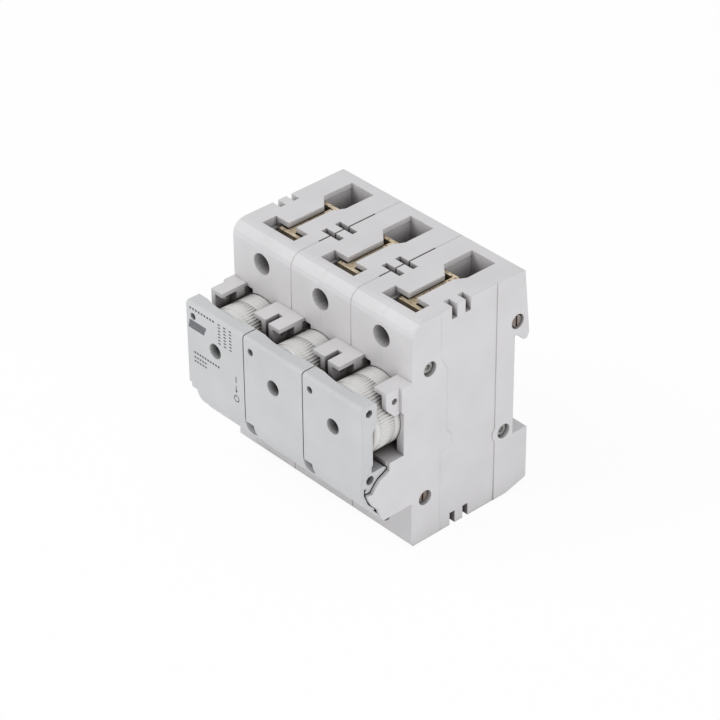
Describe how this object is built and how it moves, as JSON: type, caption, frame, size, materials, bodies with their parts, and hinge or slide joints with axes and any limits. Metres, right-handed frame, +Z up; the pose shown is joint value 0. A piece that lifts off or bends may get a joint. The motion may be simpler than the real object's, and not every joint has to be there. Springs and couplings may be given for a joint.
{
  "type": "fuse switch disconnector",
  "caption": "Rail-mounted fuse switch disconnector with a swing handle, screw-in fuse heads, clamp terminals and a spring latch on each pole.",
  "frame": {"origin": "middle of the underside's bounding box, on the surface it stands on", "axes": "+X to the right seen from the front, -Y the front with the handle, +Y the rail side, +Z up"},
  "size_m": [0.081, 0.069, 0.081],
  "materials": {
    "housing": "moulded thermoset, fine satin",
    "handle": "moulded, satin",
    "handle_rod": "drawn, dull",
    "head": "moulded, soft gloss",
    "glass": "clear",
    "ceramic": "unglazed with plated caps",
    "slide": "moulded",
    "latch": "moulded",
    "copper_alloy": "stamped, tarnished",
    "spring_steel": "bright",
    "plated_steel": "plated steel, stained",
    "zinc_steel": "zinc plated"
  },
  "bodies": {
    "housing": {"housing_left_1": "housing", "housing_right_1": "housing", "thread_sleeve_1": "copper_alloy", "base_contact_1": "copper_alloy", "lower_busbar_1": "copper_alloy", "latch_spring_1": "spring_steel", "housing_left_2": "housing", "housing_right_2": "housing", "thread_sleeve_2": "copper_alloy", "base_contact_2": "copper_alloy", "lower_busbar_2": "copper_alloy", "latch_spring_2": "spring_steel", "housing_left_3": "housing", "housing_right_3": "housing", "thread_sleeve_3": "copper_alloy", "base_contact_3": "copper_alloy", "lower_busbar_3": "copper_alloy", "latch_spring_3": "spring_steel", "tie_screws": "zinc_steel", "front_tie_screw": "zinc_steel", "rear_tie_screw": "zinc_steel", "pivot_pin": "handle_rod"},
    "handle": {"handle_plate_1": "handle", "handle_plate_2": "handle", "handle_plate_3": "handle", "handle_tie_rod": "handle_rod"},
    "head_1": {"fuse_head_1": "head", "sight_glass_1": "glass", "fuse_link_1": "ceramic"},
    "slide_1": {"contact_slide_1": "slide", "contact_bridge_1": "copper_alloy", "contact_spring_1": "spring_steel"},
    "screw_top_1": {"terminal_screw_top_1": "zinc_steel"},
    "cage_top_1": {"clamp_cage_top_1": "plated_steel"},
    "screw_bottom_1": {"terminal_screw_bottom_1": "zinc_steel"},
    "cage_bottom_1": {"clamp_cage_bottom_1": "plated_steel"},
    "latch_1": {"rail_latch_1": "latch"},
    "head_2": {"fuse_head_2": "head", "sight_glass_2": "glass", "fuse_link_2": "ceramic"},
    "slide_2": {"contact_slide_2": "slide", "contact_bridge_2": "copper_alloy", "contact_spring_2": "spring_steel"},
    "screw_top_2": {"terminal_screw_top_2": "zinc_steel"},
    "cage_top_2": {"clamp_cage_top_2": "plated_steel"},
    "screw_bottom_2": {"terminal_screw_bottom_2": "zinc_steel"},
    "cage_bottom_2": {"clamp_cage_bottom_2": "plated_steel"},
    "latch_2": {"rail_latch_2": "latch"},
    "head_3": {"fuse_head_3": "head", "sight_glass_3": "glass", "fuse_link_3": "ceramic"},
    "slide_3": {"contact_slide_3": "slide", "contact_bridge_3": "copper_alloy", "contact_spring_3": "spring_steel"},
    "screw_top_3": {"terminal_screw_top_3": "zinc_steel"},
    "cage_top_3": {"clamp_cage_top_3": "plated_steel"},
    "screw_bottom_3": {"terminal_screw_bottom_3": "zinc_steel"},
    "cage_bottom_3": {"clamp_cage_bottom_3": "plated_steel"},
    "latch_3": {"rail_latch_3": "latch"}
  },
  "joints": [
    {"name": "handle_swing", "type": "hinge", "parent": "housing", "child": "handle", "pos_m": [0, -0.0219, 0.0307], "axis": [1, 0, 0], "range_deg": [0, 70]},
    {"name": "head_turn_1", "type": "hinge", "parent": "housing", "child": "head_1", "pos_m": [-0.027, -0.0155, 0.0475], "axis": [0, 1, 0], "continuous": true},
    {"name": "contact_travel_1", "type": "slide", "parent": "housing", "child": "slide_1", "axis": [0, 1, 0], "range_m": [0, 0.0082]},
    {"name": "screw_turn_top_1", "type": "hinge", "parent": "housing", "child": "screw_top_1", "pos_m": [-0.027, -0.0075, 0.0715], "axis": [0, -1, 0], "range_deg": [0, 3690]},
    {"name": "cage_travel_top_1", "type": "slide", "parent": "housing", "child": "cage_top_1", "axis": [0, 1, 0], "range_m": [0, 0.008]},
    {"name": "screw_turn_bottom_1", "type": "hinge", "parent": "housing", "child": "screw_bottom_1", "pos_m": [-0.027, -0.0075, 0.007], "axis": [0, -1, 0], "range_deg": [0, 3690]},
    {"name": "cage_travel_bottom_1", "type": "slide", "parent": "housing", "child": "cage_bottom_1", "axis": [0, 1, 0], "range_m": [0, 0.008]},
    {"name": "latch_pull_1", "type": "slide", "parent": "housing", "child": "latch_1", "axis": [0, 0, -1], "range_m": [0, 0.0025], "stiffness_N_per_m": 300, "springref_m": -0.002, "deforming": ["latch_spring_1"]},
    {"name": "head_turn_2", "type": "hinge", "parent": "housing", "child": "head_2", "pos_m": [0, -0.0155, 0.0475], "axis": [0, 1, 0], "continuous": true},
    {"name": "contact_travel_2", "type": "slide", "parent": "housing", "child": "slide_2", "axis": [0, 1, 0], "range_m": [0, 0.0082]},
    {"name": "screw_turn_top_2", "type": "hinge", "parent": "housing", "child": "screw_top_2", "pos_m": [0, -0.0075, 0.0715], "axis": [0, -1, 0], "range_deg": [0, 3690]},
    {"name": "cage_travel_top_2", "type": "slide", "parent": "housing", "child": "cage_top_2", "axis": [0, 1, 0], "range_m": [0, 0.008]},
    {"name": "screw_turn_bottom_2", "type": "hinge", "parent": "housing", "child": "screw_bottom_2", "pos_m": [0, -0.0075, 0.007], "axis": [0, -1, 0], "range_deg": [0, 3690]},
    {"name": "cage_travel_bottom_2", "type": "slide", "parent": "housing", "child": "cage_bottom_2", "axis": [0, 1, 0], "range_m": [0, 0.008]},
    {"name": "latch_pull_2", "type": "slide", "parent": "housing", "child": "latch_2", "axis": [0, 0, -1], "range_m": [0, 0.0025], "stiffness_N_per_m": 300, "springref_m": -0.002, "deforming": ["latch_spring_2"]},
    {"name": "head_turn_3", "type": "hinge", "parent": "housing", "child": "head_3", "pos_m": [0.027, -0.0155, 0.0475], "axis": [0, 1, 0], "continuous": true},
    {"name": "contact_travel_3", "type": "slide", "parent": "housing", "child": "slide_3", "axis": [0, 1, 0], "range_m": [0, 0.0082]},
    {"name": "screw_turn_top_3", "type": "hinge", "parent": "housing", "child": "screw_top_3", "pos_m": [0.027, -0.0075, 0.0715], "axis": [0, -1, 0], "range_deg": [0, 3690]},
    {"name": "cage_travel_top_3", "type": "slide", "parent": "housing", "child": "cage_top_3", "axis": [0, 1, 0], "range_m": [0, 0.008]},
    {"name": "screw_turn_bottom_3", "type": "hinge", "parent": "housing", "child": "screw_bottom_3", "pos_m": [0.027, -0.0075, 0.007], "axis": [0, -1, 0], "range_deg": [0, 3690]},
    {"name": "cage_travel_bottom_3", "type": "slide", "parent": "housing", "child": "cage_bottom_3", "axis": [0, 1, 0], "range_m": [0, 0.008]},
    {"name": "latch_pull_3", "type": "slide", "parent": "housing", "child": "latch_3", "axis": [0, 0, -1], "range_m": [0, 0.0025], "stiffness_N_per_m": 300, "springref_m": -0.002, "deforming": ["latch_spring_3"]}
  ],
  "couplings": [
    {"joint": "contact_travel_1", "follows": "handle_swing", "m_per_rad": 0.0065727},
    {"joint": "screw_turn_top_1", "follows": "cage_travel_top_1", "rad_per_m": 7854},
    {"joint": "screw_turn_bottom_1", "follows": "cage_travel_bottom_1", "rad_per_m": 7854},
    {"joint": "contact_travel_2", "follows": "handle_swing", "m_per_rad": 0.0065727},
    {"joint": "screw_turn_top_2", "follows": "cage_travel_top_2", "rad_per_m": 7854},
    {"joint": "screw_turn_bottom_2", "follows": "cage_travel_bottom_2", "rad_per_m": 7854},
    {"joint": "contact_travel_3", "follows": "handle_swing", "m_per_rad": 0.0065727},
    {"joint": "screw_turn_top_3", "follows": "cage_travel_top_3", "rad_per_m": 7854},
    {"joint": "screw_turn_bottom_3", "follows": "cage_travel_bottom_3", "rad_per_m": 7854}
  ]
}
